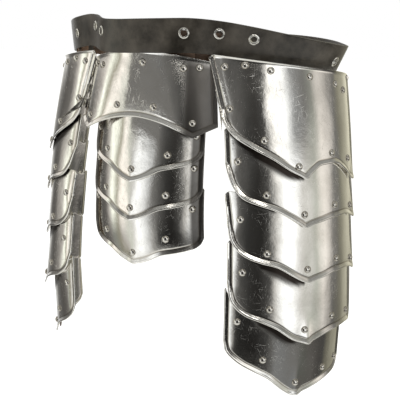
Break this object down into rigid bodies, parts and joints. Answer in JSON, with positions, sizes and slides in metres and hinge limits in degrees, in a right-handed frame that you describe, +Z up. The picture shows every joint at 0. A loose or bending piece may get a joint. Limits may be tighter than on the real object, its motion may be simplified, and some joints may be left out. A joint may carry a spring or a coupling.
{
  "type": "tasset belt",
  "caption": "Leather waist belt carrying overlapping polished steel plates that hang over both hips and the front, riveted to straps inside.",
  "frame": {"origin": "middle of the waist opening, level with the belt's middle in front, where the belt sits on the waist", "axes": "+Z up, -Y to the wearer's front, +X to the wearer's left"},
  "size_m": [0.48, 0.3173, 0.4846],
  "materials": {
    "leather": "smooth dark brown-black leather, semi-gloss",
    "strap_leather": "plain matt brown leather",
    "steel": "polished bright steel with fine scratches",
    "nickel": "bright nickel plate"
  },
  "bodies": {
    "root": {"belt": "leather", "belt_stud": "nickel", "eyelet_1": "nickel", "eyelet_2": "nickel", "eyelet_3": "nickel", "eyelet_4": "nickel", "eyelet_5": "nickel", "eyelet_6": "nickel", "eyelet_7": "nickel", "left_lame_1": "steel", "left_lame_2": "steel", "left_lame_3": "steel", "left_lame_4": "steel", "left_lame_5": "steel", "right_lame_1": "steel", "right_lame_2": "steel", "right_lame_3": "steel", "right_lame_4": "steel", "right_lame_5": "steel", "front_plate": "steel", "front_lame_1": "steel", "front_lame_2": "steel", "front_lame_3": "steel", "left_strap_1": "strap_leather", "left_strap_2": "strap_leather", "left_strap_3": "strap_leather", "right_strap_1": "strap_leather", "right_strap_2": "strap_leather", "right_strap_3": "strap_leather", "front_strap_1": "strap_leather", "front_strap_2": "strap_leather"}
  },
  "joints": []
}
